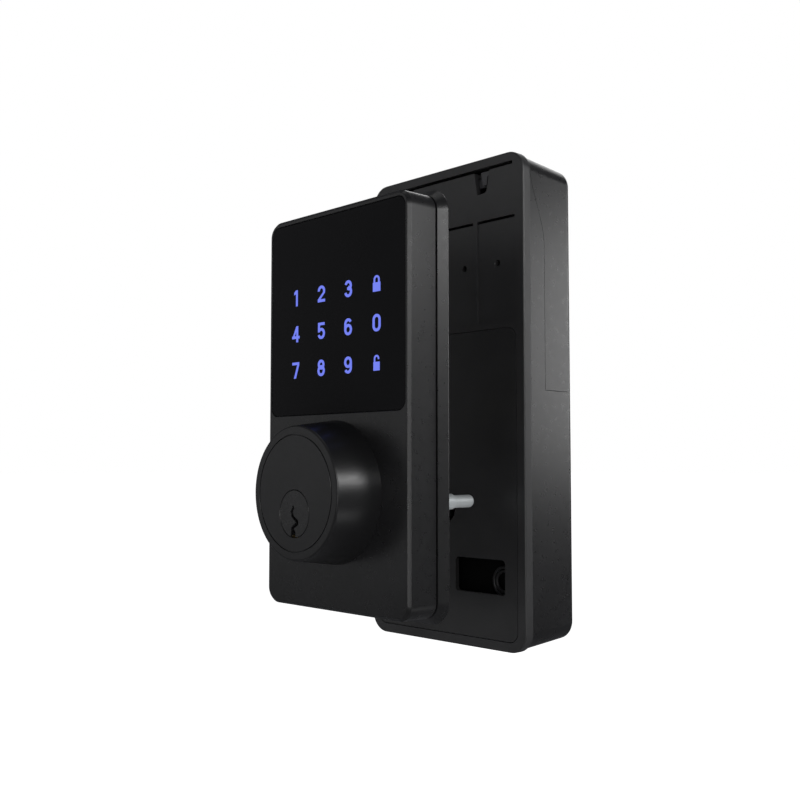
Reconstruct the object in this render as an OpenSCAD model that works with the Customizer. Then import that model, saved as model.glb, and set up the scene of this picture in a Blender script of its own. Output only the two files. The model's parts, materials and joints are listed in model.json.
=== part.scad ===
// Keypad smart lock: an exterior keypad unit with a key cylinder, and an
// interior drive unit, held apart by the thickness of the door.
// +X right, +Y into the door and on to the room side, +Z up.
// The origin is on the key plug's axis, in the plane where the exterior unit
// meets the door.

/* [Exterior unit] */
// Width of the front shell
ext_w = 65; // [64:0.5:68]
// Height of the front shell
ext_h = 120; // [118:0.5:124]
// Front plane to the door's face
ext_d = 13.6; // [13.2:0.1:15]
// Plug axis down to the bottom edge of the front shell
ext_drop = 29; // [28:0.5:31]
// Corner radius of the front shell
ext_r = 4.8; // [4.2:0.1:6]
// Wall thickness of the shells
ext_wall = 2.0; // [1.8:0.1:2.2]
// Thickness of the back shell's flange
flange_t = 2.7; // [2.6:0.1:3.0]
// Overhang of the flange at its front edge
flare_front = 0.2; // [0.1:0.1:0.6]
// Overhang of the flange at the door
flare_rear = 2.0; // [1.6:0.1:2.4]
// Shadow gap between the front shell and the flange
shadow_gap = 0.5; // [0.3:0.1:0.8]

/* [Keypad] */
// Margin between the glass and the shell's edges
glass_margin = 1.6; // [1.4:0.1:2.4]
// Height of the glass
glass_h = 60.2; // [58:0.2:61]
// Thickness of the glass
glass_t = 1.2; // [1.0:0.05:1.2]
// Column pitch of the keys
key_dx = 12.5; // [11.5:0.1:13.5]
// Row pitch of the keys
key_dz = 11.25; // [10:0.05:12.5]
// Height of a digit
digit_h = 5.0; // [4.5:0.1:5.5]
// Sideways offset of the keys' middle
key_x = 0.2; // [0:0.1:0.4]
// Height of the middle row above the plug's axis
key_mid_z = 54.3; // [52:0.1:57]

/* [Cylinder collar] */
// Radius of the collar where it meets the shell
collar_r1 = 21.25; // [20.8:0.05:22]
// Radius of the collar at its front edge
collar_r2 = 19.4; // [19:0.1:20]
// How far the collar stands out of the shell
collar_p = 14.4; // [14:0.1:15.5]
// Height of the collar's axis above the plug's axis
collar_up = 5.86; // [5.6:0.02:6.2]
// Radius of the ring groove in the collar's face
groove_r = 16.7; // [16:0.1:17]

/* [Key cylinder] */
// Radius of the plug's head
head_r = 6.74; // [6.6:0.02:6.9]
// Radius of the plug
plug_r = 6.2; // [6.0:0.05:6.3]
// Radial running clearance of the plug and the shafts
run = 0.05; // [0.03:0.01:0.08]
// Pitch of the pin chambers
pin_pitch = 3.8; // [3.6:0.1:3.9]
// Radius of the pins
pin_r = 1.35; // [1.2:0.05:1.4]

/* [Studs and tailpiece] */
// Distance between the two studs
stud_pitch = 38.8; // [38:0.2:40]
// Height of the studs above the plug's axis
stud_up = 2.9; // [2.5:0.1:3.5]
// Radius of the threaded end of a stud
stud_r = 1.92; // [1.9:0.01:2.0]
// Length of a stud behind the door's face
stud_len = 24.8; // [22:0.2:28]
// Width of the tailpiece blade
blade_w = 6.0; // [5.6:0.1:6.0]
// Thickness of the tailpiece blade
blade_t = 2.0; // [1.8:0.1:2.0]

/* [Interior unit] */
// Gap between the two units, which is the door
door_t = 32.8; // [30:0.2:38]
// Width of the base frame
int_w = 68.8; // [68.4:0.2:70]
// Height of the base frame
int_h = 154.2; // [153:0.2:158]
// Plug axis down to the bottom edge of the base frame
int_drop = 43.0; // [42.6:0.2:45]
// Depth of the interior unit, without the thumb-turn
int_d = 26.7; // [26.5:0.1:27.5]
// Depth of the base frame's rim
rim_d = 3.4; // [3.2:0.1:3.6]
// Width of the rim around the mounting plate
rim_w = 3.4; // [3.0:0.1:3.6]
// Height of the seam under the battery cover
seam_z = 37.0; // [36.5:0.1:38]
// Depth of the seam along the sides, from the door's face
seam_y = 11.1; // [10.9:0.1:11.5]

/* [Gear train] */
// Tooth module
gear_m = 0.8; // [0.8:0.01:0.8]
// Teeth on the output gear
z_out = 40; // [40:1:40]
// Teeth on the small idler
z_small = 12; // [12:1:12]
// Teeth on the large idler
z_large = 30; // [30:1:30]
// Teeth on the motor pinion
z_pin = 12; // [12:1:12]
// Backlash on each flank
lash = 0.07; // [0.05:0.01:0.1]

/* [Hidden] */
$fn = 64;
e = 0.05;
hw = ext_w/2;
z0 = -ext_drop;
z1 = ext_h - ext_drop;
yf = -ext_d;                      // front plane
yr = -flange_t - shadow_gap;      // rear edge of the front shell
ys = yf - collar_p;               // collar face
gx = hw - glass_margin;
gz1 = z1 - glass_margin - 0.2;
gz0 = gz1 - glass_h;
ye = door_t;                      // door side of the interior unit
yrim = door_t + rim_d;
yroom = door_t + int_d;
ih = int_w/2;
iz0 = -int_drop;
iz1 = int_h - int_drop;
ysm = door_t + seam_y;            // battery cover seam
pw = ih - rim_w;                  // half width of the mounting plate
pz0 = iz0 + rim_w - 0.2;
pz1 = 56.2;
sx = stud_pitch/2;
boss = [[hw-6, z0+5.5], [-hw+6, z0+5.5], [hw-6, z1-5], [-hw+6, z1-5]];
pin_y = [for (i = [0:4]) yf - 9.9 + i*pin_pitch];
dogw = 42;                        // angle that each drive dog takes up
pillars = [[28, -33], [-28, -33], [28, 30], [-28, 30]];
cell_x = [-21.45, -7.15, 7.15, 21.45];
cell_y = door_t + 16.4;
// gear centres, as [x, z]
a1 = 242.8;
c_idl = (z_out + z_small)*gear_m/2*[cos(a1), sin(a1)];
a2 = -34.8;
c_pin = c_idl + (z_large + z_pin)*gear_m/2*[cos(a2), sin(a2)];

// a plate in the XZ plane from y0 to y1, its outline drawn as [x, z]
module plate(y0, y1) { rotate([90, 0, 0]) translate([0, 0, -y1]) linear_extrude(y1 - y0) children(); }
// a round bar along Y
module bar(r, y0, y1, x = 0, z = 0) { translate([x, y1, z]) rotate([90, 0, 0]) cylinder(r = r, h = y1 - y0); }
// a solid turned about Y, its profile drawn as [r, y]
module turned(x = 0, z = 0) { translate([x, 0, z]) rotate([-90, 0, 0]) rotate_extrude() children(); }
// a rectangle with round corners
module rrect(x0, x1, y0, y1, r) {
    translate([x0 + r, y0]) square([x1 - x0 - 2*r, y1 - y0]);
    translate([x0, y0 + r]) square([x1 - x0, y1 - y0 - 2*r]);
    for (x = [x0 + r, x1 - r], y = [y0 + r, y1 - r]) translate([x, y]) circle(r);
}
// a box by its corners
module box(a, b) { translate(a) cube(b - a); }
// a sector of a ring, centred on an angle
module sector(r0, r1, ang, w) {
    difference() {
        circle(r1);
        circle(r0);
        rotate(ang) polygon([[0, 0], [2*r1*cos(w/2), 2*r1*sin(w/2)], [0, 3*r1], [-3*r1, 3*r1], [-3*r1, -3*r1], [0, -3*r1], [2*r1*cos(w/2), -2*r1*sin(w/2)]]);
    }
}
// a screw along Y with its head towards the given side
module screw(x, z, yh, hr, hh, sr, len, s = -1) {
    difference() {
        union() {
            if (s < 0) { bar(hr, yh - hh, yh, x, z); bar(sr, yh - hh - len, yh - hh + e, x, z); }
            else { bar(hr, yh, yh + hh, x, z); bar(sr, yh - len, yh + e, x, z); }
        }
        for (a = [0, 90]) translate([x, s < 0 ? yh : yh + hh, z]) rotate([0, a, 0]) cube([hr*1.3, hh*0.9, hr*0.3], center = true);
    }
}

// ---- exterior unit ----
module ext_front_shell() {
    color("#2b2c30") difference() {
        union() {
            difference() {
                plate(yf, yr) rrect(-hw, hw, z0, z1, ext_r);
                plate(yf + ext_wall, yr + 1) rrect(-hw + ext_wall, hw - ext_wall, z0 + ext_wall, z1 - ext_wall, ext_r - ext_wall);
            }
            for (b = boss) bar(3.0, yf + ext_wall - e, -5.2, b[0], b[1]);
        }
        plate(yf - 1, yf + 1.35) rrect(-gx, gx, gz0, gz1, 3);
        plate(yf - 1, yf + 3) rrect(-28, 28, gz0 + 3.2, gz1 - 2.8, 2);
        bar(19.0, yf - 1, yf + 3, 0, collar_up);
        for (b = boss) bar(1.0, -10.4, 0, b[0], b[1]);
    }
}
module keypad_glass() {
    color("#0d0d10") plate(yf + 0.15, yf + 0.15 + glass_t) rrect(-gx + 0.1, gx - 0.1, gz0 + 0.1, gz1 - 0.1, 2.9);
}
// digits and padlock signs, drawn in a cell one digit high
module arc(cx, cy, r, t, a0, a1) {
    translate([cx, cy]) difference() {
        circle(r);
        circle(r - t);
        if (a1 - a0 < 359) rotate(a1) polygon(concat([[0, 0]], [for (k = [0:8]) 3*r*[cos(k*(360 - a1 + a0)/8), sin(k*(360 - a1 + a0)/8)]]));
    }
}
module glyph(g) {
    h = digit_h; w = h*0.67; t = h*0.165; r = w/2;
    translate([0, -h/2]) {
        if (g == "0") difference() { rrect(-r, r, 0, h, r*0.98); rrect(-r + t, r - t, t, h - t, (r - t)*0.96); }
        if (g == "1") { translate([0, 0]) square([t*0.92, h]); polygon([[t*0.4, h], [0, h], [-t*1.1, h*0.86], [-t*1.1, h*0.72], [t*0.3, h*0.8]]); }
        if (g == "2") {
            arc(0, h - r, r, t, -25, 180);
            polygon([[-r, 0], [r, 0], [r, t], [-r + t*1.3, t], [r*0.96, h - r - 0.62], [r*0.96 - t*0.95, h - r - 0.42], [-r, t*1.0]]);
        }
        if (g == "3") { arc(0, h - r*0.93, r*0.93, t, -80, 165); arc(0, r, r, t, -165, 85); translate([-r*0.25, h/2 - t/2 + 0.05]) square([r*0.5, t]); }
        if (g == "4") { translate([r*0.15, 0]) square([t, h]); translate([-r*1.1, h*0.22]) square([w*1.08, t]); polygon([[-r*1.1, h*0.22], [-r*1.1 + t*0.9, h*0.22], [r*0.4, h*0.86], [r*0.4, h], [r*0.15, h]]); }
        if (g == "5") { arc(0, r, r, t, -160, 130); translate([-r*0.9, h - t]) square([w*0.9, t]); translate([-r*0.9, h*0.42]) square([t, h*0.56]); }
        if (g == "6") { arc(0, r, r, t, 0, 360); arc(0, h - r, r, t, 30, 180); translate([-r, r]) square([t, h - 2*r]); }
        if (g == "7") { translate([-r, h - t]) square([w, t]); polygon([[-r*0.5, 0], [-r*0.5 + t*1.1, 0], [r, h - t], [r, h], [r - t, h - t]]); }
        if (g == "8") { arc(0, h - r*0.9, r*0.9, t, 0, 360); arc(0, r, r, t, 0, 360); }
        if (g == "9") { arc(0, h - r, r, t, 0, 360); arc(0, r, r, t, 210, 360); translate([r - t, r]) square([t, h - 2*r]); }
        if (g == "closed") padlock(0.22, 1.55, 2.62, 1.26, 4.88, 0.6, 0);
        if (g == "open") padlock(0.08, 1.28, 2.5, 1.1, 4.55, 0.52, 0.75);
    }
}
// a padlock sign: its body from the base up, and a shackle whose right leg ends short of the body by the gap
module padlock(base, bw, bh, sr, top, st, gap) {
    translate([-bw, base]) square([2*bw, bh]);
    arc(0, top - sr, sr, st, 0, 180);
    translate([-sr, base + bh - e]) square([st, top - sr - base - bh + 2*e]);
    translate([sr - st, base + bh - e + gap]) square([st, top - sr - base - bh + 2*e - gap]);
}
module key_legends() {
    rows = [["1", "2", "3", "closed"], ["4", "5", "6", "0"], ["7", "8", "9", "open"]];
    color("#7f8cf0") plate(yf, yf + 0.15)
        for (i = [0:2], j = [0:3]) translate([(j - 1.5)*key_dx + key_x, key_mid_z + (1 - i)*key_dz]) glyph(rows[i][j]);
}
module light_guide() {
    color("#d8dbe4") plate(yf + 1.4, yf + 2.4) rrect(-27.8, 27.8, gz0 + 3.4, gz1 - 3, 1.8);
}
module touch_board() {
    color("#1d5a34") {
        union() {
            plate(yf + 2.4, yf + 4.0) rrect(-29.6, 29.6, gz0 - 0.5, z1 - 8.6, 2);
            box([-14, yf + 4.0 - e, 60], [-4, yf + 5.2, 70]);
            box([4, yf + 4.0 - e, 62], [10, yf + 5.0, 68]);
            box([-22, yf + 4.0 - e, 44], [-14, yf + 6.4, 50]);
            bar(5.5, yf + 4.0 - e, yf + 7.4, 16, 46);
        }
    }
}
module cable_socket() {
    color("#e6e2d4") difference() {
        box([-6.2, yf + 4.0, 31.5], [6.2, -0.6, 37.3]);
        box([-5.2, -5.6, 32.5], [5.2, 0, 36.3]);
    }
}
module ext_back_shell() {
    color("#26272b") difference() {
        union() {
            hull() {
                plate(-flange_t, -flange_t + 0.02) rrect(-hw - flare_front, hw + flare_front, z0 - flare_front, z1 + flare_front, 5.0, $fn = 32);
                plate(-0.02, 0) rrect(-hw - flare_rear, hw + flare_rear, z0 - flare_rear, z1 + flare_rear, 5.6, $fn = 32);
            }
            difference() {
                plate(-5.0, -flange_t + e) rrect(-hw + ext_wall + 0.1, hw - ext_wall - 0.1, z0 + ext_wall + 0.1, z1 - ext_wall - 0.1, ext_r - ext_wall - 0.1);
                plate(-6, -1) rrect(-hw + 3.6, hw - 3.6, z0 + 3.6, z1 - 3.6, 1.2);
            }
            for (b = boss) bar(3.0, -5.2, -1, b[0], b[1]);
            bar(11.2, -5.3, -1);
        }
        plate(-0.9, 1) difference() {
            rrect(-hw - 0.4, hw + 0.4, z0 - 0.4, z1 + 0.4, 4);
            rrect(-hw + 2.1, hw - 2.1, z0 + 2.1, z1 - 2.1, 2.5);
        }
        bar(8.1, -6, 1);
        for (s = [-1, 1]) {
            bar(4.3, -2.2, 1, s*sx, stud_up);
            bar(1.55, -6, 1, s*sx, stud_up);
            bar(1.6, -6, 1, s*11.2, 12);
            bar(2.8, -1.7, 1, s*11.2, 12);
        }
        for (b = boss) { bar(1.2, -6, 1, b[0], b[1]); bar(2.6, -1.7, 1, b[0], b[1]); }
        plate(-6, 1) rrect(-6.6, 6.6, 31, 37.8, 0.6);
    }
}
module door_gasket() {
    color("#17171a") plate(-0.9, 0) difference() {
        rrect(-hw - 0.35, hw + 0.35, z0 - 0.35, z1 + 0.35, 3.95);
        rrect(-hw + 2.05, hw - 2.05, z0 + 2.05, z1 - 2.05, 2.55);
    }
}
module cylinder_collar() {
    k = 0.8;
    color("#1b1b1e") difference() {
        union() {
            turned(0, collar_up) polygon(concat([[0, yf], [collar_r1, yf]],
                [for (i = [0:6]) [collar_r2 - k + k*sin(90 - i*15 + 7), ys + k - k*cos(90 - i*15)]], [[0, ys]]));
            bar(18.9, yf - e, yf + 6.0, 0, collar_up);
        }
        // ring groove in the face
        turned(0, collar_up) polygon([[groove_r - 0.18, ys - 1], [groove_r + 0.18, ys - 1], [groove_r + 0.18, ys + 0.35], [groove_r - 0.18, ys + 0.35]]);
        bar(head_r + run + 0.03, ys - 1, ys + 1.3);
        plate(ys + 1.2, yf + 7) { circle(9.1); translate([-5.3, 0]) square([10.6, 20.4]); }
        for (s = [-1, 1]) bar(4.2, yf - 2, yf + 7, s*11.2, 12);
        plate(yf - 2, yf + 7) translate([-10.3, 9.2]) square([20.6, 5.6]);
    }
}
module cylinder_body() {
    color("#b89a5a") difference() {
        union() {
            plate(ys + 1.25, -5.4) { circle(9.0); translate([-5.2, 0]) square([10.4, 20.3]); }
            for (s = [-1, 1]) bar(3.2, yf - 1.5, -5.4, s*11.2, 12);
            plate(yf - 1.5, -5.4) translate([-10, 9.5]) square([20, 5]);
        }
        bar(plug_r + run, ys, 0);
        // counterbore that the plug's clip turns in
        bar(7.6, -6.25, 0);
        for (y = pin_y) translate([0, y, 0]) cylinder(r = pin_r + 0.1, h = 30);
        for (s = [-1, 1]) bar(1.3, -13, 0, s*11.2, 12);
        translate([-1.7, pin_y[0] - 2.2, 19.3]) cube([3.4, 4*pin_pitch + 4.4, 2]);
    }
}
module chamber_cover() {
    color("#a9a9ad") translate([-1.65, pin_y[0] - 2.1, 19.3]) cube([3.3, 4*pin_pitch + 4.2, 0.9]);
}
module key_plug() {
    color("#c6c7ca") difference() {
        union() {
            bar(head_r, ys, ys + 1.2);
            bar(plug_r, ys + 1.2 - e, -6.2);
            bar(4.6, -6.3, -5.3);
            bar(5.5, -5.4, -4.3);
            plate(-4.4, -2.4) sector(2.2, 5.4, 90, dogw);
        }
        // warded keyway, open at the bottom
        plate(ys - 1, -7.6) polygon([[-0.85, 2.2], [-0.15, 2.2], [-0.1, 1.4], [-0.85, 0.5], [-0.1, -0.8], [1.8, -1.9], [1.8, -3.0], [-0.3, -4.2],
            [0.55, -5.2], [0.55, -7.2], [-1.45, -7.2], [-1.45, -4.9], [-1.35, -4.0], [0.6, -2.6], [0.6, -2.2], [-1.15, -0.9], [-1.7, 0.5], [-0.95, 1.5]]);
        for (y = pin_y) translate([0, y, 0]) cylinder(r = pin_r + 0.08, h = 30);
    }
}
module key_pins() {
    cut = [1.6, 2.6, 1.9, 3.0, 2.2];
    color("#c9a24a") for (i = [0:4]) translate([0, pin_y[i], cut[i]]) {
        translate([0, 0, 0.7]) cylinder(r = pin_r, h = 5.3 - cut[i]);
        cylinder(r1 = pin_r*0.45, r2 = pin_r, h = 0.71);
    }
}
module driver_pins() {
    color("#b9bbc0") for (y = pin_y) translate([0, y, plug_r + 0.15]) cylinder(r = pin_r, h = 4.4);
}
// a coil spring that stands on the given height
module coil(x, y, z, r, w, h, turns) {
    translate([x, y, z]) linear_extrude(h, twist = -360*turns, slices = 8*turns, $fn = 6) translate([r - w, 0]) circle(w, $fn = 6);
}
module pin_springs() {
    color("#d5d7dc") for (y = pin_y) coil(0, y, plug_r + 4.6, pin_r - 0.1, 0.2, 8.3, 4);
}
module plug_clip() {
    color("#8e9096") plate(-6.15, -5.45) difference() { circle(7.4); circle(4.65); translate([-3.6, -9]) square([7.2, 8.5]); }
}
module tail_retainer() {
    color("#8e9096") plate(-1.15, -0.1) difference() { circle(8.05); circle(blade_w/2 + 0.5); }
}
module tailpiece() {
    color("#9a9ca2") {
        plate(-2.3, -1.25) circle(5.4);
        plate(-4.2, -2.3 + e) sector(2.2, 5.4, 225, dogw);
        plate(-1.3, ye + 22) square([blade_t, blade_w], center = true);
    }
}
module mounting_studs() {
    color("#c3c6cb") for (s = [-1, 1]) turned(s*sx, stud_up)
        polygon(concat([[0, -3.6], [1.5, -3.6], [1.5, -2.15], [4.2, -2.15], [4.2, 0], [2.4, 0], [2.4, 16.0], [stud_r, 16.5]],
            [for (k = [0:6]) [stud_r - 1.1*(1 - cos(k*15)), stud_len - 1.1 + 1.1*sin(k*15)]], [[0, stud_len]]));
}
module shell_screws() {
    color("#2f3034") for (b = boss) screw(b[0], b[1], -0.2, 2.4, 1.4, 0.95, 8);
}
module cylinder_screws() {
    color("#b9bbc0") for (s = [-1, 1]) screw(s*11.2, 12, -0.25, 2.6, 1.4, 1.25, 10);
}

// ---- interior unit ----
module int_base_frame() {
    color("#1c1c1f") {
        difference() {
            union() {
                plate(ye, yrim) rrect(-ih, ih, iz0, iz1, 6.4);
                for (p = pillars) bar(2.6, ye + 2.5, ye + 8.2, p[0], p[1]);
            }
            // opening that takes the mounting plate, with a ledge behind it
            plate(ye - 1, ye + 1.7) rrect(-pw - 0.12, pw + 0.12, pz0 - 0.12, pz1 + 0.12, 3.3);
            plate(ye - 1, yrim + 1) rrect(-pw + 2.4, pw - 2.4, pz0 + 2.4, pz1 - 2.4, 2);
            // thin wall behind the battery compartment
            plate(ye + 2, yrim + 1) rrect(-pw + 0.6, pw - 0.6, pz1 + 2.2, iz1 - 5.6, 2);
            for (p = pillars) bar(1.0, ye + 3, ye + 9, p[0], p[1]);
            for (s = [-1, 1]) {
                // slots that free the latches
                plate(ye - 1, ye + 3) polygon([[s*14.0, 107.9], [s*20.6, 107.9], [s*19.5, 101.2], [s*18.9, 100.1], [s*15.3, 99.8]]);
                for (x = [9.2, 23.4]) bar(1.0, ye - 1, ye + 3, s*x, 76.9);
                // slit, and a shallow field under it
                box([s > 0 ? 15.2 : -30.9, ye - 1, 90.4], [s > 0 ? 30.9 : -15.2, ye + 3, 91.2]);
                box([s > 0 ? 15.2 : -30.9, ye - 1, 58.5], [s > 0 ? 30.9 : -15.2, ye + 0.4, 90.5]);
            }
            box([-13.5, ye - 1, 90.4], [13.5, ye + 3, 91.2]);
            box([-13.5, ye - 1, 58.5], [13.5, ye + 0.4, 90.5]);
            // gap under the top rim
            box([-30.1, ye - 1, 107.1], [30.1, yrim + 1, 108.2]);
        }
        // web that closes the pocket behind the plate's window
        plate(ye + 3.0, ye + 3.8) difference() {
            rrect(2.0, 30, iz0 + 4.5, -12, 1.2);
            for (z = [-18.1, -25.9]) translate([24, z]) rrect(-0.9, 0.9, -1.7, 1.7, 0.85);
            translate(pillars[0]) circle(1.05);
        }
    }
}
module latch_tongues() {
    color("#303034") for (s = [-1, 1]) {
        plate(ye + 0.5, ye + 1.8) polygon([[s*16.5, 106.9], [s*20.1, 106.9], [s*19.9, 105.6], [s*19.3, 105.3], [s*18.8, 102.6], [s*17.4, 102.6]]);
        box([s > 0 ? 14.2 : -20.2, ye + 2.05, 102.4], [s > 0 ? 20.2 : -14.2, ye + 3.2, 105.4]);
        box([s > 0 ? 17.4 : -18.8, ye + 1.7, 103], [s > 0 ? 18.8 : -17.4, ye + 2.15, 105.3]);
    }
}
module mounting_plate() {
    color("#202023") plate(ye, ye + 1.6) difference() {
        rrect(-pw, pw, pz0, pz1, 3.2);
        circle(5);
        rrect(5.2, 26.1, -26.1, -15.3, 1.2);
    }
}
// the cover's outer form: a drafted box with a rounded room-side edge
module cover_form(t, fn = 32) {
    f = 3.2 - min(t, 1.6);
    hull() {
        plate(yrim, yrim + 0.02) rrect(-ih + 0.5 + t, ih - 0.5 - t, iz0 + 0.5 + t, iz1 - 0.5 - t, 5.9 - t, $fn = fn);
        for (i = [0:4]) let (g = 1.8 + t + f*(1 - cos(i*22.5)), y = yroom - t - f + f*sin(i*22.5))
            plate(y - 0.02, y) rrect(-ih + g, ih - g, iz0 + g, iz1 - g, 5.4 - t*0.9, $fn = fn);
    }
}
// what the battery cover takes from the cover: straight up the sides, then a curve towards the door near the top
module seam_form(o) {
    curve = [for (k = [0:14]) let (t = k/16) [ysm + o - 7.4*t*t*(3 - 2*t), 82.5 + 24.5*t]];
    translate([-40, 0, 0]) rotate([90, 0, 90]) linear_extrude(80)
        polygon(concat([[yroom + 5, seam_z + o], [ysm + o, seam_z + o]], curve, [[yrim + (o > 0 ? o : -1), 104.6], [yrim + (o > 0 ? o : -1), 115], [yroom + 5, 115]]));
}
module int_cover() {
    color("#1b1b1e") difference() {
        cover_form(0);
        difference() { cover_form(1.8); }
        plate(yrim - 1, yrim + 0.5) rrect(-ih + 2.35, ih - 2.35, iz0 + 2.35, iz1 - 2.35, 4.0, $fn = 32);
        seam_form(0);
        bar(7.0, yroom - 5, yroom + 1);
        // countersink that the thumb-turn's skirt runs in
        bar(15.6, yroom - 0.6, yroom + 1);
    }
}
module battery_cover() {
    color("#1b1b1e") {
        intersection() {
            difference() { cover_form(0); cover_form(1.8); }
            seam_form(0.15);
        }
        for (s = [-1, 1]) box([s > 0 ? 29.5 : -32.1, ye + 12.25, 46], [s > 0 ? 32.1 : -29.5, ye + 13.2, 84]);
    }
}
module battery_tray() {
    color("#232326") {
        union() {
            plate(ye + 7.2, ye + 8.4) rrect(-29.3, 29.3, 41.6, 101.4, 1.5);
            for (s = [-1, 1]) {
                box([s > 0 ? 28.75 : -29.3, ye + 7.2, 41.6], [s > 0 ? 29.3 : -28.75, ye + 14.4, 101.4]);
                box([s > 0 ? 28.8 : -30.0, ye + 13.4, 44], [s > 0 ? 30.0 : -28.8, ye + 14.4, 98]);
            }
            box([-29.3, ye + 7.2, 41.6], [29.3, ye + 19, 43.0]);
            box([-29.3, ye + 7.2, 100.0], [29.3, ye + 19, 101.4]);
            for (x = [-14.3, 0, 14.3]) plate(ye + 8.3, ye + 11.4) translate([x - 0.5, 43]) square([1.0, 57]);
        }
    }
}
module aa_cells() {
    color("#8a8f96") for (i = [0:3]) translate([cell_x[i], cell_y, 71.5]) mirror([0, 0, i % 2]) {
        translate([0, 0, -25.2]) cylinder(r = 7.05, h = 49.2);
        translate([0, 0, 24.0 - e]) cylinder(r = 2.7, h = 1.2 + e);
    }
}
module cell_contacts() {
    color("#d9d2b4") for (i = [0:3]) translate([cell_x[i], cell_y, 71.5]) mirror([0, 0, i % 2]) {
        translate([-3.6, -4.5, 28.05]) cube([7.2, 9, 0.4]);
        translate([0, 0, 25.3]) cylinder(r1 = 1.4, r2 = 3, h = 2.8);
        translate([-3.6, -4.5, -28.45]) cube([7.2, 9, 0.4]);
        translate([0, 0, -28.1]) cylinder(r1 = 3.4, r2 = 2.0, h = 2.8);
    }
}
// an involute spur gear outline with one tooth centred on the given angle
function inv(rb, r) = let (t = sqrt(max(0, (r/rb)*(r/rb) - 1))) t*180/PI - atan(t);
module gear2d(z, ang) {
    m = gear_m; r = z*m/2; rb = r*cos(25); ra = r + 0.92*m; rf = r - 1.2*m;
    half = 90/z - lash/r*180/PI + inv(rb, r);
    rs = [for (k = [0:5]) max(rb, rf) + (ra - max(rb, rf))*k/5];
    rotate(ang) polygon([for (i = [0:z - 1]) let (b = i*360/z) each concat(
        [rf*[cos(b - half), sin(b - half)]],
        [for (q = rs) q*[cos(b - half + inv(rb, q)), sin(b - half + inv(rb, q))]],
        [for (k = [5:-1:0]) rs[k]*[cos(b + half - inv(rb, rs[k])), sin(b + half - inv(rb, rs[k]))]],
        [rf*[cos(b + half), sin(b + half)]])]);
}
module gear_chassis() {
    color("#b4b7bc") plate(ye + 8.2, ye + 9.7) difference() {
        rrect(-30, 30, -36.5, 36, 3);
        circle(5.0 + run);
        translate(c_idl) circle(1.5 + run);
        translate(c_pin) circle(2.0);
        for (p = pillars) translate(p) circle(1.2);
        for (z = [-18.1, -25.9]) translate([24, z]) rrect(-0.9, 0.9, -1.7, 1.7, 0.85);
    }
}
module chassis_screws() {
    color("#b9bbc0") for (p = pillars) screw(p[0], p[1], ye + 9.7, 2.2, 1.4, 0.95, 6, 1);
}
module output_gear() {
    color("#e8e4d8") plate(ye + 10.4, ye + 14.2) difference() { gear2d(z_out, a1); circle(5.0); for (k = [0:5]) rotate(k*60 + 12) translate([10.4, 0]) circle(2.1); }
}
module spindle_hub() {
    color("#a2a4a9") difference() {
        union() { bar(5.0, ye + 7.6, ye + 27.2); bar(7.5, ye + 14.2, ye + 15.0); bar(6.5, ye + 7.0, ye + 8.0); }
        translate([-blade_t/2 - 0.05, ye + 6, -blade_w/2 - 0.05]) cube([blade_t + 0.1, 17, blade_w + 0.1]);
        bar(1.25, ye + 22.5, ye + 28);
    }
}
module idler_gear() {
    color("#e8e4d8") {
        plate(ye + 4.6, ye + 7.6) translate(c_idl) gear2d(z_large, a2);
        plate(ye + 10.4, ye + 14.2) translate(c_idl) gear2d(z_small, a1 + 180 + 180/z_small);
        bar(1.5, ye + 3.8, ye + 17.4, c_idl[0], c_idl[1]);
    }
}
module gear_cover() {
    color("#3a3b40") {
        plate(ye + 15.4, ye + 16.8) difference() {
            union() { circle(19); translate(c_idl) circle(9); translate([-26, 8]) square([52, 10]); }
            circle(5.0 + run);
            translate(c_idl) circle(1.5 + run);
            translate(c_pin) square([13, 11], center = true);
        }
        for (s = [-1, 1]) bar(2.2, ye + 9.7, ye + 15.5, s*23.2, 13);
    }
}
module motor() {
    color("#c9ccd1") difference() {
        union() {
            plate(ye + 9.7, ye + 24.0) translate(c_pin) intersection() { circle(6); square([12, 10], center = true); }
            bar(2.0, ye + 24.0 - e, ye + 24.6, c_pin[0], c_pin[1]);
        }
        bar(0.8, ye + 9, ye + 12, c_pin[0], c_pin[1]);
    }
}
module motor_pinion() {
    color("#c9a24a") { plate(ye + 4.4, ye + 7.8) translate(c_pin) gear2d(z_pin, a2 + 180 + 180/z_pin); bar(0.75, ye + 4.2, ye + 11.6, c_pin[0], c_pin[1]); }
}
// two insulated leads from the board to the motor, with a loop in the pocket behind the plate's window
module motor_leads() {
    yl = ye + 2.35;
    color("#8b8d92") for (k = [0, 1]) let (r = 4.4 - 1.2*k) {
        translate([24, yl, -22]) rotate([90, 0, 0]) rotate([0, 0, 90]) rotate_extrude(angle = 180) translate([r, 0]) circle(0.5, $fn = 16);
        for (z = [-22 + r, -22 - r]) translate([24, yl, z]) sphere(0.5, $fn = 24);
        bar(0.5, yl, ye + 18.55, 24, -22 + r);
        bar(0.5, yl, ye + 20, 24, -22 - r);
        translate([24, ye + 20, -22 - r]) sphere(0.5, $fn = 24);
        translate([c_pin[0] + 6.05, ye + 20, -22 - r]) rotate([0, 90, 0]) cylinder(r = 0.5, h = 24 - c_pin[0] - 6.05);
    }
}
module control_board() {
    color("#1d5a34") difference() {
        union() {
            plate(ye + 18.6, ye + 20.2) { rrect(-27.5, 27.5, -19, 33.5, 2); translate([13, 30]) square([13, 10.6]); }
            box([-22, ye + 20.1, 14], [-10, ye + 21.4, 26]);
            box([8, ye + 20.1, 18], [22, ye + 22.2, 30]);
            box([-20, ye + 20.1, -14], [-12, ye + 23.4, -4]);
            bar(3.1, ye + 20.1, ye + 24.0, 20, -8);
        }
        bar(8.2, ye + 17, ye + 27);
    }
}
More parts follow.
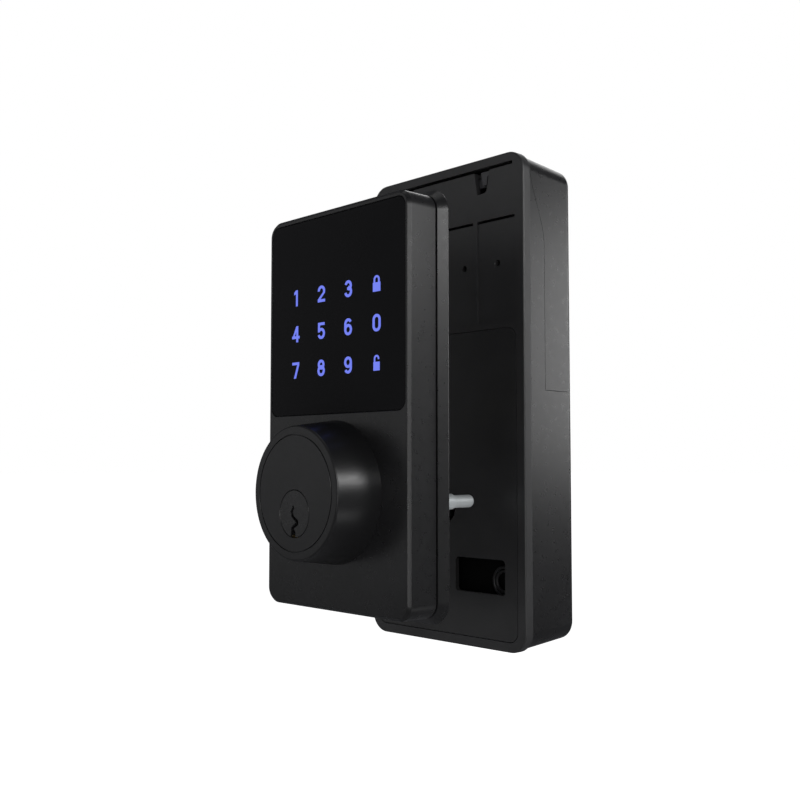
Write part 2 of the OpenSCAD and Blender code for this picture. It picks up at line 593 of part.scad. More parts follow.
module switch_body() {
    color("#2a2a2c") difference() {
        box([16.5, ye + 20.2, 34.2], [22.5, ye + 23.2, 40.2]);
        bar(1.8, ye + 21.2, ye + 24, 19.5, 37.2 + 0.0);
    }
}
module setup_button() {
    color("#c23b32") bar(1.72, ye + 21.9, ye + 24.4, 19.5, 37.2);
}
module thumb_bushing() {
    color("#d8d8da") plate(yroom - 2.4, yroom - 0.6) difference() { circle(6.95); circle(5.0 + run); }
}
module thumb_turn() {
    k = 8;
    color("#1b1b1e") difference() {
        union() {
            turned() polygon([[0, yroom + 0.1], [15, yroom + 0.1], [15, yroom + 1.6], [14.2, yroom + 2.4], [0, yroom + 2.4]]);
            hull() {
                plate(yroom + 2.2, yroom + 2.4) rrect(-6, 6, -14, 14, 5.9, $fn = 32);
                plate(yroom + 18, yroom + 18.2) rrect(-4.6, 4.6, -17.5, 17.5, 4.5, $fn = 32);
                plate(yroom + 19.8, yroom + 20) rrect(-3.2, 3.2, -16, 16, 3.1, $fn = 32);
            }
        }
        bar(1.7, yroom - 2, yroom + 21);
        bar(3.2, yroom + 4, yroom + 21);
        bar(5.0, yroom - 1, yroom + 0.5);
    }
}
module thumb_screw() {
    color("#2f3034") screw(0, 0, yroom + 4, 2.9, 1.8, 1.2, 7.4, 1);
}

ext_front_shell();
keypad_glass();
key_legends();
light_guide();
touch_board();
ext_back_shell();
door_gasket();
cylinder_collar();
cylinder_body();
chamber_cover();
key_plug();
key_pins();
driver_pins();
pin_springs();
plug_clip();
tail_retainer();
tailpiece();
mounting_studs();
shell_screws();
cylinder_screws();
cable_socket();
int_base_frame();
latch_tongues();
mounting_plate();
int_cover();
battery_cover();
battery_tray();
aa_cells();
cell_contacts();
gear_chassis();
chassis_screws();
gear_cover();
output_gear();
spindle_hub();
idler_gear();
motor();
motor_pinion();
motor_leads();
control_board();
switch_body();
setup_button();
thumb_bushing();
thumb_turn();
thumb_screw();
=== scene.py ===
import bpy, bmesh, json, math
from mathutils import Vector, Matrix


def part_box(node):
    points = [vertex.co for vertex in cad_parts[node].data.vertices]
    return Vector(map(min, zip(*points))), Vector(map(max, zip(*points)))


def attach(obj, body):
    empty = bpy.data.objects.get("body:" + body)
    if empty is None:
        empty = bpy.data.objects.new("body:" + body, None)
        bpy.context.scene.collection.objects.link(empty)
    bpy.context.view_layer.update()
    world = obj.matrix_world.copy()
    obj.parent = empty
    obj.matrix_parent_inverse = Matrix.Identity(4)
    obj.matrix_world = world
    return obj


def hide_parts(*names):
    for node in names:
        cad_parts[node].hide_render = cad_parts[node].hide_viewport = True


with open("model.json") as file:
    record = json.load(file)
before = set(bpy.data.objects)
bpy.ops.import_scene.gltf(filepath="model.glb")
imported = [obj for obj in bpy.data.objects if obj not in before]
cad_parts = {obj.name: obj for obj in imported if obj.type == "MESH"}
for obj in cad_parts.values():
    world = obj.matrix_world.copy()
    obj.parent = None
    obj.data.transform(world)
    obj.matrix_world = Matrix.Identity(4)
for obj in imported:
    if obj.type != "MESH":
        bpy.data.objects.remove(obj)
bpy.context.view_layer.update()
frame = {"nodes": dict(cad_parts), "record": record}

N = frame["nodes"]
SC = bpy.context.scene
MM = 0.001


# ---------------------------------------------------------------- camera, floor, light
def look(loc, fwd):
    f = Vector(fwd).normalized()
    q = f.to_track_quat("-Z", "Y")
    return Matrix.Translation(Vector(loc)) @ q.to_matrix().to_4x4()


cam_d = bpy.data.cameras.new("camera")
cam_d.lens = 47.26
cam_d.sensor_width = 36.0
cam_d.sensor_fit = "HORIZONTAL"
cam_d.clip_start = 0.01
cam_d.clip_end = 100.0
cam = bpy.data.objects.new("camera", cam_d)
SC.collection.objects.link(cam)
cam.matrix_world = look((0.2401, -0.2115, 0.0143), (-0.7286, 0.6823, 0.0604))
SC.camera = cam
SC.view_settings.view_transform = "Standard"


def area(name, loc, target, size, size_y, power, color=(1, 1, 1), spread=180):
    d = bpy.data.lights.new(name, "AREA")
    d.shape = "RECTANGLE"
    d.size = size
    d.size_y = size_y
    d.energy = power
    d.color = color
    d.spread = math.radians(spread)
    o = bpy.data.objects.new(name, d)
    SC.collection.objects.link(o)
    o.matrix_world = look(loc, Vector(target) - Vector(loc))
    o.visible_camera = False
    return o


area("side_room", (0.52, 1.12, 0.19), (0.03, 0.05, 0.03), 0.32, 0.36, 1.5)
area("side_high", (1.14, -0.05, 0.43), (0.03, 0, 0.03), 2.3, 0.22, 6.4)
area("side_front", (1.02, -0.52, 0.41), (0.03, 0, 0.03), 0.40, 0.22, 0.9)
area("edge_strip", (0.78, -0.93, 0.05), (0, 0, 0.03), 0.16, 0.75, 1.7)
area("side_band", (1.04, 0.46, 0.40), (0.03, 0, 0.03), 0.32, 0.26, 1.9)
area("side_low", (0.36, 0.20, -0.25), (0.02, -0.02, 0.0), 0.22, 0.10, 0.07)
area("front_wide", (-0.84, -1.08, 0.26), (0, 0, 0.03), 1.2, 0.9, 1.1)
area("top_soft", (0.0, 0.1, 1.2), (0, 0.02, 0.0), 0.8, 0.8, 1.0)
area("back_room", (-0.5, 1.1, 0.5), (0, 0.05, 0.03), 0.9, 0.9, 4.0)

world = bpy.data.worlds.new("studio")
SC.world = world
world.use_nodes = True
wn = world.node_tree.nodes
wl = world.node_tree.links
wn.clear()
out = wn.new("ShaderNodeOutputWorld")
mix = wn.new("ShaderNodeMixShader")
lp = wn.new("ShaderNodeLightPath")
amb = wn.new("ShaderNodeBackground")
amb.inputs["Color"].default_value = (0.92, 0.94, 1.0, 1)
amb.inputs["Strength"].default_value = 0.075
bg = wn.new("ShaderNodeBackground")
bg.inputs["Color"].default_value = (1, 1, 1, 1)
bg.inputs["Strength"].default_value = 1.0
wl.new(lp.outputs["Is Camera Ray"], mix.inputs[0])
wl.new(amb.outputs[0], mix.inputs[1])
wl.new(bg.outputs[0], mix.inputs[2])
wl.new(mix.outputs[0], out.inputs[0])

fm = bmesh.new()
bmesh.ops.create_grid(fm, x_segments=8, y_segments=8, size=30)
me = bpy.data.meshes.new("floor")
fm.to_mesh(me)
fm.free()
floor = bpy.data.objects.new("floor", me)
SC.collection.objects.link(floor)
floor.location = (0, 0, -0.30)
floor.visible_glossy = False
mt = bpy.data.materials.new("floor_pale")
mt.use_nodes = True
b = mt.node_tree.nodes["Principled BSDF"]
b.inputs["Base Color"].default_value = (0.86, 0.86, 0.87, 1)
b.inputs["Roughness"].default_value = 0.9
b.inputs["Specular IOR Level"].default_value = 0.1
b.inputs["Emission Color"].default_value = (1, 1, 1, 1)
b.inputs["Emission Strength"].default_value = 1.0
me.materials.append(mt)


# ---------------------------------------------------------------- materials
def new_mat(name):
    m = bpy.data.materials.new(name)
    m.use_nodes = True
    nt = m.node_tree
    return m, nt, nt.nodes["Principled BSDF"]


def noise(nt, scale, detail=2.0, rough=0.5, stretch=None):
    tc = nt.nodes.new("ShaderNodeTexCoord")
    mp = nt.nodes.new("ShaderNodeMapping")
    n = nt.nodes.new("ShaderNodeTexNoise")
    n.inputs["Scale"].default_value = scale
    n.inputs["Detail"].default_value = detail
    n.inputs["Roughness"].default_value = rough
    if stretch:
        mp.inputs["Scale"].default_value = stretch
    nt.links.new(tc.outputs["Object"], mp.inputs["Vector"])
    nt.links.new(mp.outputs["Vector"], n.inputs["Vector"])
    return n


def ramp(nt, src, lo, hi, c0, c1):
    r = nt.nodes.new("ShaderNodeValToRGB")
    r.color_ramp.elements[0].position = lo
    r.color_ramp.elements[1].position = hi
    r.color_ramp.elements[0].color = (*c0, 1)
    r.color_ramp.elements[1].color = (*c1, 1)
    nt.links.new(src, r.inputs["Fac"])
    return r


def maprange(nt, src, a, b, lo=0.3, hi=0.7):
    r = nt.nodes.new("ShaderNodeMapRange")
    r.inputs["From Min"].default_value = lo
    r.inputs["From Max"].default_value = hi
    r.inputs["To Min"].default_value = a
    r.inputs["To Max"].default_value = b
    nt.links.new(src, r.inputs["Value"])
    return r


def bump(nt, b, src, strength, dist):
    n = nt.nodes.new("ShaderNodeBump")
    n.inputs["Strength"].default_value = strength
    n.inputs["Distance"].default_value = dist
    nt.links.new(src, n.inputs["Height"])
    nt.links.new(n.outputs["Normal"], b.inputs["Normal"])
    return n


def within(nt, lo, hi):
    """1 inside a box given in millimetres, 0 outside it."""
    tc = nt.nodes.new("ShaderNodeTexCoord")
    sp = nt.nodes.new("ShaderNodeSeparateXYZ")
    nt.links.new(tc.outputs["Object"], sp.inputs[0])
    res = None
    for i in range(3):
        cmp = nt.nodes.new("ShaderNodeMath")
        cmp.operation = "COMPARE"
        nt.links.new(sp.outputs[i], cmp.inputs[0])
        cmp.inputs[1].default_value = (lo[i] + hi[i]) / 2 * MM
        cmp.inputs[2].default_value = (hi[i] - lo[i]) / 2 * MM
        if res is None:
            res = cmp.outputs[0]
        else:
            mu = nt.nodes.new("ShaderNodeMath")
            mu.operation = "MULTIPLY"
            nt.links.new(res, mu.inputs[0])
            nt.links.new(cmp.outputs[0], mu.inputs[1])
            res = mu.outputs[0]
    return res


def surface(name, c, vary=0.12, rough=(0.40, 0.46), grain=2600, grain_s=0.25, grain_d=0.00002,
            spec=0.5, metallic=0.0, coat=0.0, coat_r=0.2, patch=60, stretch=None, aniso=0.0, painted_shade_box=None):
    """One finish: a base colour that drifts a little, a roughness that drifts, and a fine grain in the bump. Where a
    box is given, the colour inside it is painted near-black and made fully rough as painted shade.
    """
    m, nt, b = new_mat(name)
    big = noise(nt, patch, 3.0, 0.55)
    lo = tuple(max(0.0, x * (1 - vary)) for x in c)
    hi = tuple(min(1.0, x * (1 + vary)) for x in c)
    r = ramp(nt, big.outputs["Fac"], 0.35, 0.65, lo, hi)
    mid = noise(nt, patch * 9, 2.0, 0.5, stretch)
    rr = maprange(nt, mid.outputs["Fac"], rough[0], rough[1])
    colour, grip = r.outputs["Color"], rr.outputs["Result"]
    # painted shade: inside the box the base colour is mixed to near-black and the roughness raised to 1, standing in
    # for the shade deep in the window pocket
    if painted_shade_box:
        inside = within(nt, *painted_shade_box)
        painted_shade_mix = nt.nodes.new("ShaderNodeMix")
        painted_shade_mix.data_type = "RGBA"
        painted_shade_mix.inputs[7].default_value = (0.0004, 0.0004, 0.0004, 1)
        nt.links.new(inside, painted_shade_mix.inputs[0])
        nt.links.new(colour, painted_shade_mix.inputs[6])
        colour = painted_shade_mix.outputs[2]
        mr = nt.nodes.new("ShaderNodeMath")
        mr.operation = "MAXIMUM"
        nt.links.new(grip, mr.inputs[0])
        nt.links.new(inside, mr.inputs[1])
        grip = mr.outputs[0]
    nt.links.new(colour, b.inputs["Base Color"])
    nt.links.new(grip, b.inputs["Roughness"])
    fine = noise(nt, grain, 2.0, 0.6, stretch)
    bump(nt, b, fine.outputs["Fac"], grain_s, grain_d)
    b.inputs["Specular IOR Level"].default_value = spec
    b.inputs["Metallic"].default_value = metallic
    b.inputs["Coat Weight"].default_value = coat
    b.inputs["Coat Roughness"].default_value = coat_r
    if aniso:
        b.inputs["Anisotropic"].default_value = aniso
    return m


MAT = {
    "shell_black": surface("m_shell", (0.007, 0.007, 0.0075), rough=(0.27, 0.31), grain=3200, grain_s=0.015),
    "flange_black": surface("m_flange", (0.007, 0.007, 0.0075), rough=(0.27, 0.31), grain=3000, grain_s=0.015),
    "collar_black": surface("m_collar", (0.007, 0.007, 0.0075), rough=(0.30, 0.34), grain=3600, grain_s=0.02),
    "plug_black": surface("m_plug", (0.008, 0.008, 0.0085), rough=(0.26, 0.31), grain=3600, grain_s=0.02),
    "panel_glass": surface("m_glass", (0.0035, 0.0035, 0.004), vary=0.05, rough=(0.16, 0.18), grain=900, grain_s=0.02, spec=0.06),
    "legend_glow": None,
    "diffuser": surface("m_diffuser", (0.70, 0.72, 0.78), rough=(0.5, 0.6)),
    "board_green": surface("m_board", (0.02, 0.10, 0.04), rough=(0.3, 0.4)),
    "gasket_foam": surface("m_gasket", (0.012, 0.012, 0.013), rough=(0.85, 0.95), grain=1800, grain_s=0.8, grain_d=0.0001),
    "brass": surface("m_brass", (0.60, 0.42, 0.16), rough=(0.25, 0.35), metallic=1.0, grain=1400, stretch=(1, 12, 1)),
    "zinc": surface("m_zinc", (0.55, 0.56, 0.58), rough=(0.30, 0.42), metallic=1.0, grain=1200),
    "steel": surface("m_steel", (0.48, 0.48, 0.50), rough=(0.28, 0.38), metallic=1.0, grain=1400, stretch=(1, 12, 1)),
    "stud_zinc": surface("m_stud", (0.50, 0.53, 0.54), rough=(0.42, 0.52), metallic=0.55, grain=1600),
    "screw_black": surface("m_screw", (0.03, 0.03, 0.033), rough=(0.30, 0.40), metallic=0.6),
    "socket_ivory": surface("m_socket", (0.72, 0.68, 0.56), rough=(0.40, 0.5)),
    "frame_black": surface("m_frame", (0.016, 0.016, 0.0168), spec=0.62, rough=(0.38, 0.43), grain=2800, grain_s=0.05),
    # painted shade: near-black, barely reflective finish for the sheet behind the plate's window
    "pocket": surface("m_painted_shade_pocket", (0.0012, 0.0012, 0.0013), spec=0.04, rough=(0.80, 0.90), grain=1500, grain_s=0.2),
    "tongue_grey": surface("m_tongue", (0.035, 0.035, 0.038), rough=(0.42, 0.5)),
    # painted shade: the plate's window walls inside this box are painted near-black
    "plate_black": surface("m_plate", (0.013, 0.013, 0.0136), spec=0.68, rough=(0.38, 0.43), grain=3000, grain_s=0.05, painted_shade_box=((5.1, 32.95, -26.2), (26.2, 35, -15.2))),
    "cover_black": surface("m_cover", (0.006, 0.006, 0.0065), rough=(0.27, 0.31), grain=2800, grain_s=0.02),
    "tray_black": surface("m_tray", (0.02, 0.02, 0.022), rough=(0.5, 0.6)),
    "cell_wrap": surface("m_cell", (0.06, 0.08, 0.11), rough=(0.25, 0.33), metallic=0.4),
    "contact_nickel": surface("m_contact", (0.66, 0.62, 0.52), rough=(0.25, 0.35), metallic=1.0),
    "gear_acetal": surface("m_acetal", (0.78, 0.76, 0.68), rough=(0.38, 0.46)),
    "motor_can": surface("m_can", (0.60, 0.61, 0.63), rough=(0.22, 0.32), metallic=1.0, stretch=(1, 14, 1)),
    "lead_grey": surface("m_lead", (0.006, 0.006, 0.0065), rough=(0.35, 0.42), spec=0.4),
    "button_red": surface("m_button", (0.45, 0.03, 0.025), rough=(0.25, 0.32)),
    "turn_black": surface("m_turn", (0.014, 0.014, 0.015), rough=(0.36, 0.42), grain=3400, grain_s=0.18),
}
gm, gnt, gb = new_mat("m_legend")
gn = noise(gnt, 300, 2.0)
gr = ramp(gnt, gn.outputs["Fac"], 0.3, 0.7, (0.02, 0.025, 0.10), (0.025, 0.03, 0.12))
gnt.links.new(gr.outputs["Color"], gb.inputs["Base Color"])
gb.inputs["Roughness"].default_value = 0.3
gb.inputs["Emission Color"].default_value = (0.145, 0.19, 0.80, 1)
gb.inputs["Emission Strength"].default_value = 1.0
MAT["legend_glow"] = gm

slot_of = {s["node"]: s["material_slot"] for s in frame["record"]["subparts"]}
body_of = {n: b for b, ns in frame["record"]["behaviour"]["bodies"].items() for n in ns}


for n, o in N.items():
    m = MAT[slot_of[n]]
    if not o.data.materials:
        o.data.materials.append(m)
    for i in range(len(o.data.materials)):
        o.data.materials[i] = m


# ---------------------------------------------------------------- mesh helpers (millimetres in, metres out)
def obj_from(bm, name, slot):
    bmesh.ops.recalc_face_normals(bm, faces=bm.faces)
    me = bpy.data.meshes.new(name)
    bm.to_mesh(me)
    bm.free()
    o = bpy.data.objects.new(name, me)
    SC.collection.objects.link(o)
    me.materials.append(MAT[slot])
    return o


def rr(x0, x1, z0, z1, r, y, n=10):
    pts = []
    for cx, cz, a in ((x1 - r, z0 + r, -90), (x1 - r, z1 - r, 0), (x0 + r, z1 - r, 90), (x0 + r, z0 + r, 180)):
        for k in range(n + 1):
            t = math.radians(a + 90 * k / n)
            pts.append(Vector((cx + r * math.cos(t), y, cz + r * math.sin(t))) * MM)
    return pts


def circ(r, y, cx=0.0, cz=0.0, n=160):
    return [Vector((cx + r * math.cos(2 * math.pi * k / n), y, cz + r * math.sin(2 * math.pi * k / n))) * MM for k in range(n)]


def loft(name, rings, slot, caps=(True, True)):
    bm = bmesh.new()
    vs = [[bm.verts.new(p) for p in ring] for ring in rings]
    n = len(vs[0])
    for a, b in zip(vs, vs[1:]):
        for i in range(n):
            j = (i + 1) % n
            bm.faces.new((a[i], a[j], b[j], b[i]))
    if caps[0]:
        bm.faces.new(vs[0][::-1])
    if caps[1]:
        bm.faces.new(vs[-1])
    return obj_from(bm, name, slot)


def closed_loft(name, rings, slot):
    bm = bmesh.new()
    vs = [[bm.verts.new(p) for p in ring] for ring in rings]
    n = len(vs[0])
    m = len(vs)
    for k in range(m):
        a, b = vs[k], vs[(k + 1) % m]
        for i in range(n):
            j = (i + 1) % n
            bm.faces.new((a[i], a[j], b[j], b[i]))
    return obj_from(bm, name, slot)


def apply_mods(o):
    dg = bpy.context.evaluated_depsgraph_get()
    me = bpy.data.meshes.new_from_object(o.evaluated_get(dg))
    o.modifiers.clear()
    old = o.data
    o.data = me
    bpy.data.meshes.remove(old)


def boolean(o, cutter, op="DIFFERENCE"):
    md = o.modifiers.new("b", "BOOLEAN")
    md.object = cutter
    md.operation = op
    md.solver = "EXACT"
    apply_mods(o)
    bpy.data.objects.remove(cutter)


def smooth(o, angle=32):
    for p in o.data.polygons:
        p.use_smooth = True
    o.data.set_sharp_from_angle(angle=math.radians(angle))


def ease(o, rule, seg=3, angle=28):
    """Rounds each sharp edge by the width that rule gives at its middle, in millimetres, and keeps flat faces flat."""
    bm = bmesh.new()
    bm.from_mesh(o.data)
    lay = bm.edges.layers.float.new("bevel_weight_edge")
    wide = 0.0
    want = []
    for e in bm.edges:
        w = 0.0
        if len(e.link_faces) == 2 and e.calc_face_angle(0.0) > math.radians(angle):
            m = (e.verts[0].co + e.verts[1].co) * 500.0
            w = rule(m.x, m.y, m.z)
        want.append((e, w))
        wide = max(wide, w)
    for e, w in want:
        e[lay] = w / wide if wide else 0.0
    bm.to_mesh(o.data)
    bm.free()
    smooth(o, 30)
    if wide:
        md = o.modifiers.new("v", "BEVEL")
        md.width = wide * MM
        md.segments = seg
        md.limit_method = "WEIGHT"
        md.use_clamp_overlap = False
        md.miter_outer = "MITER_ARC"
        md.harden_normals = False
    wn_ = o.modifiers.new("w", "WEIGHTED_NORMAL")
    wn_.mode = "FACE_AREA"
    wn_.weight = 100
    wn_.keep_sharp = True
    apply_mods(o)


def place(o, *nodes, body=None, slot=None):
    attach(o, body or body_of[nodes[0]])
    if nodes:
        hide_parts(*nodes)
    return o


def soften(node, rule, seg=3, name=None, extra=None):
    """The CAD node's own form, with its edges eased."""
    bm = bmesh.new()
    bm.from_mesh(N[node].data)
    bmesh.ops.remove_doubles(bm, verts=bm.verts, dist=2e-6)
    o = obj_from(bm, name or node + "_eased", slot_of[node])
    if extra:
        extra(o)
    ease(o, rule if callable(rule) else (lambda x, y, z: rule), seg)
    return place(o, node)


B = {n: [[v * 1000 for v in c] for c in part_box(n)] for n in N}
YF = B["ext_front_shell"][0][1]
YR = B["ext_front_shell"][1][1]


def arc_steps(n):
    """Quarter round: how far in and how far along, each from 0 to 1."""
    return [(1 - math.cos(math.radians(90 * k / n)), math.sin(math.radians(90 * k / n))) for k in range(n + 1)]


def inset(box4, d, r, y, n=12):
    x0, x1, z0, z1 = box4
    return rr(x0 + d, x1 - d, z0 + d, z1 - d, max(0.05, r - d), y, n)


def prism(box4, r, y0, y1, n=8):
    return loft("cut", [inset(box4, 0, r, y0, n), inset(box4, 0, r, y1, n)], "tray_black")


def drum(r, y0, y1, cx=0.0, cz=0.0, n=72):
    return loft("cut", [circ(r, y0, cx, cz, n), circ(r, y1, cx, cz, n)], "tray_black")


def poly(pts, y0, y1):
    return loft("cut", [[Vector((x, y, z)) * MM for x, z in pts] for y in (y0, y1)], "tray_black")


def cut(o, *cutters, op="DIFFERENCE"):
    for c in cutters:
        boolean(o, c, op)
    return o


def finish_normals(o, angle=30):
    smooth(o, angle)
    md = o.modifiers.new("w", "WEIGHTED_NORMAL")
    md.mode = "FACE_AREA"
    md.weight = 100
    md.keep_sharp = True
    apply_mods(o)
    return o


def lathe(name, prof, slot, cx=0.0, cz=0.0, n=180):
    return loft(name, [circ(r, y, cx, cz, n) for r, y in prof], slot)


def join(o, *others):
    """One mesh of several closed forms."""
    bm = bmesh.new()
    bm.from_mesh(o.data)
    for p in others:
        bm.from_mesh(p.data)
    bm.to_mesh(o.data)
    bm.free()
    for p in others:
        bpy.data.objects.remove(p)
    return o


# ---- front shell: eased front edge, a recess for the glass, an open back
(sx0, _, sz0), (sx1, _, sz1) = B["ext_front_shell"]
S4 = (sx0, sx1, sz0, sz1)
(gx0, gy0, gz0), (gx1, gy1, gz1) = B["keypad_glass"]
G4 = (gx0 - 0.1, gx1 + 0.1, gz0 - 0.1, gz1 + 0.1)
CZ = 5.86
rings = [inset(S4, 0.22, 4.8, YR)] + [inset(S4, 0.22 * (1 - b), 4.8, YR - 0.22 * a) for a, b in arc_steps(3)][1:]
rings += [inset(S4, d, 4.8, YF + y) for d, y in ((0, 1.0), (0.012, 0.93), (0.05, 0.86), (0.80, 0.09), (0.87, 0.03), (0.96, 0.0))]
shell = loft("front_shell", rings, "shell_black")
cut(shell,
    loft("cut", [inset(S4, 2.0, 4.8, YR + 1), inset(S4, 2.0, 4.8, YF + 2.0)], "tray_black"),
    loft("cut", [inset(G4, -0.14, 3.0, YF - 1), inset(G4, -0.14, 3.0, YF), inset(G4, -0.02, 3.0, YF + 0.1), inset(G4, 0, 3.0, YF + 0.16), inset(G4, 0, 3.0, YF + 1.35)], "tray_black"),
    prism((-28, 28, gz0 + 3.1, gz1 - 2.9), 2, YF - 1, YF + 3),
    drum(19.0, YF - 1, YF + 3, 0, CZ))
posts = []
for bx, bz in ((sx1 - 6, sz0 + 5.5), (sx0 + 6, sz0 + 5.5), (sx1 - 6, sz1 - 5), (sx0 + 6, sz1 - 5)):
    posts.append(cut(drum(3.0, YF + 1.95, -5.2, bx, bz), drum(1.0, -10.4, 0, bx, bz)))
place(finish_normals(join(shell, *posts)), "ext_front_shell")

glass = loft("keypad_panel", [inset((gx0, gx1, gz0, gz1), 0, 2.9, gy1)] +
             [inset((gx0, gx1, gz0, gz1), 0.16 * a, 2.9, gy0 + 0.16 - 0.16 * b) for a, b in arc_steps(4)], "panel_glass")
place(finish_normals(glass), "keypad_glass")

# ---- back shell: a flange that flares towards the door, with its spigot and holes
F4 = (sx0, sx1, sz0, sz1)
rings = [inset(F4, 0.25 - 0.2, 4.8, -2.7)] + [inset(F4, -0.2 + 0.2 * (1 - b), 4.8, -2.7 + 0.2 * a) for a, b in arc_steps(3)]
rings += [inset(F4, -2.0 + 0.1 * a, 4.8, -0.28 + 0.24 * b) for a, b in arc_steps(3)]
rings += [inset(F4, -1.82, 4.8, 0.0)]
back = loft("back_flange", rings, "flange_black")
spig = closed_loft("cut", [inset(F4, 2.1, 4.8, -2.75), inset(F4, 2.1, 4.8, -4.85), inset(F4, 2.25, 4.8, -5.0), inset(F4, 3.6, 4.8, -5.0), inset(F4, 3.6, 4.8, -2.75)], "flange_black")
cut(back, drum(8.1, -6, 1), prism((-6.6, 6.6, 31, 37.8), 0.6, -6, 1),
    *[drum(4.3, -2.2, 1, s * 19.4, 2.9) for s in (-1, 1)],
    *[drum(1.55, -6, 1, s * 19.4, 2.9) for s in (-1, 1)],
    *[drum(1.6, -6, 1, s * 11.2, 12) for s in (-1, 1)],
    *[drum(2.8, -1.7, 1, s * 11.2, 12) for s in (-1, 1)],
    *[drum(2.6, -1.7, 1, bx, bz) for bx in (sx1 - 6, sx0 + 6) for bz in (sz0 + 5.5, sz1 - 5)])
gr = closed_loft("cut", [inset(F4, -0.4, 4.8, -0.9), inset(F4, -0.4, 4.8, 1), inset(F4, 2.1, 4.8, 1), inset(F4, 2.1, 4.8, -0.9)], "tray_black")
cut(back, gr)
hubc = cut(drum(11.2, -5.3, -2.65), drum(8.1, -6, 1), *[drum(1.6, -6, 1, s * 11.2, 12) for s in (-1, 1)])
bossr = [cut(drum(3.0, -5.2, -2.65, bx, bz), drum(1.2, -6, 1, bx, bz)) for bx in (sx1 - 6, sx0 + 6) for bz in (sz0 + 5.5, sz1 - 5)]
place(finish_normals(join(back, spig, hubc, *bossr)), "ext_back_shell")

# ---- collar: a turned drum with a rounded edge and a ring groove, bored off centre for the plug
cy0 = B["cylinder_collar"][0][1]
prof = [(18.9, YF + 6), (18.9, YF - 0.02), (21.22, YF - 0.02), (21.15, YF - 0.3)]
prof += [(21.15 - 1.76 * t, YF - 0.3 - 13.42 * t) for t in (0.25, 0.5, 0.75, 1.0)]
prof += [(18.73 + 0.65 * math.cos(math.radians(a)), cy0 + 0.65 - 0.65 * math.sin(math.radians(a))) for a in (8, 22, 36, 50, 64, 78, 90)]
prof += [(16.9, cy0), (16.86, cy0 + 0.06), (16.84, cy0 + 0.34), (16.56, cy0 + 0.34), (16.54, cy0 + 0.06), (16.5, cy0)]
collar = lathe("cylinder_drum", prof, "collar_black", 0, CZ, 200)
cut(collar,
    loft("cut", [circ(6.96, cy0 - 1, n=96), circ(6.96, cy0, n=96), circ(6.84, cy0 + 0.12, n=96), circ(6.84, cy0 + 1.3, n=96)], "tray_black"),
    drum(9.1, cy0 + 1.2, YF + 7), prism((-5.3, 5.3, 0, 20.4), 0.05, cy0 + 1.2, YF + 7, 1),
    prism((-10.3, 10.3, 9.2, 14.8), 0.05, YF - 2, YF + 7, 1),
    *[drum(4.2, YF - 2, YF + 7, s * 11.2, 12) for s in (-1, 1)])
place(finish_normals(collar, 24), "cylinder_collar")
soften("key_plug", lambda x, y, z: 0.14 if y < cy0 + 0.3 else 0.0, 3)

# ---- studs
(ux0, uy0, _), (ux1, uy1, _) = B["mounting_studs"]
for i, s in enumerate((-1, 1)):
    pr = [(1.5, uy0), (1.5, -2.15), (4.05, -2.15), (4.2, -2.0), (4.2, -0.2), (4.05, 0), (2.55, 0), (2.4, 0.15), (2.4, 15.9), (2.3, 16.1), (1.98, 16.45), (1.92, 16.6)]
    pr += [(1.92 - 1.1 * (1 - math.cos(math.radians(a))), uy1 - 1.1 + 1.1 * math.sin(math.radians(a))) for a in range(0, 91, 10)]
    st = finish_normals(lathe("stud_%d" % i, pr, "stud_zinc", s * 19.4, 2.9, 64), 40)
    place(st, "mounting_studs")

# ---- interior base frame
(ix0, ye, iz0), (ix1, _, iz1) = B["int_base_frame"]
yrim = ye + 3.4
I4 = (ix0, ix1, iz0, iz1)
pw = 31.0
pz0, pz1 = iz0 + 3.2, 56.2
rings = [inset(I4, 0.3, 6.4, yrim)] + [inset(I4, 0.3 * (1 - b), 6.4, yrim - 0.3 * a) for a, b in arc_steps(3)][1:]
rings += [inset(I4, 0.55 * a, 6.4, ye + 0.55 - 0.55 * b) for a, b in arc_steps(5)]
base = loft("base_frame", rings, "frame_black")
cuts = [loft("cut", [inset((-pw - 0.12, pw + 0.12, pz0 - 0.12, pz1 + 0.12), d, 3.3, y) for d, y in ((-0.1, ye - 1), (-0.1, ye), (0, ye + 0.12), (0, ye + 1.7))], "tray_black"),
        prism((-pw + 2.4, pw - 2.4, pz0 + 2.4, pz1 - 2.4), 2, ye - 1, yrim + 1),
        prism((-pw + 0.6, pw - 0.6, pz1 + 2.2, iz1 - 5.6), 2, ye + 2, yrim + 1),
        prism((-30.1, 30.1, 107.1, 108.2), 0.45, ye - 1, yrim + 1, 4),
        prism((-13.5, 13.5, 90.4, 91.2), 0.1, ye - 1, ye + 3, 2),
        prism((-13.5, 13.5, 58.5, 90.5), 0.1, ye - 1, ye + 0.4, 2)]
for s in (-1, 1):
    q = [(s * 14.0, 107.6), (s * 20.6, 107.6), (s * 19.6, 101.6), (s * 19.3, 100.8), (s * 18.9, 100.2), (s * 18.3, 100.0), (s * 15.6, 99.75), (s * 15.3, 99.9)]
    cuts.append(poly(q, ye - 1, ye + 3))
    for x in (9.2, 23.4):
        cuts.append(loft("cut", [circ(r, y, s * x, 76.9, 40) for r, y in ((1.1, ye - 1), (1.1, ye + 0.4), (1.0, ye + 0.5), (1.0, ye + 3))], "tray_black"))
    xa, xb = sorted((s * 15.2, s * 30.9))
    cuts.append(prism((xa, xb, 90.4, 91.2), 0.3, ye - 1, ye + 3, 3))
    cuts.append(prism((xa, xb, 58.5, 90.5), 0.5, ye - 1, ye + 0.4, 3))
cut(base, *cuts)
posts = [cut(drum(2.6, ye + 2.5, ye + 8.2, x, z), drum(1.0, ye + 3, ye + 9, x, z)) for x in (-28, 28) for z in (-33, 30)]
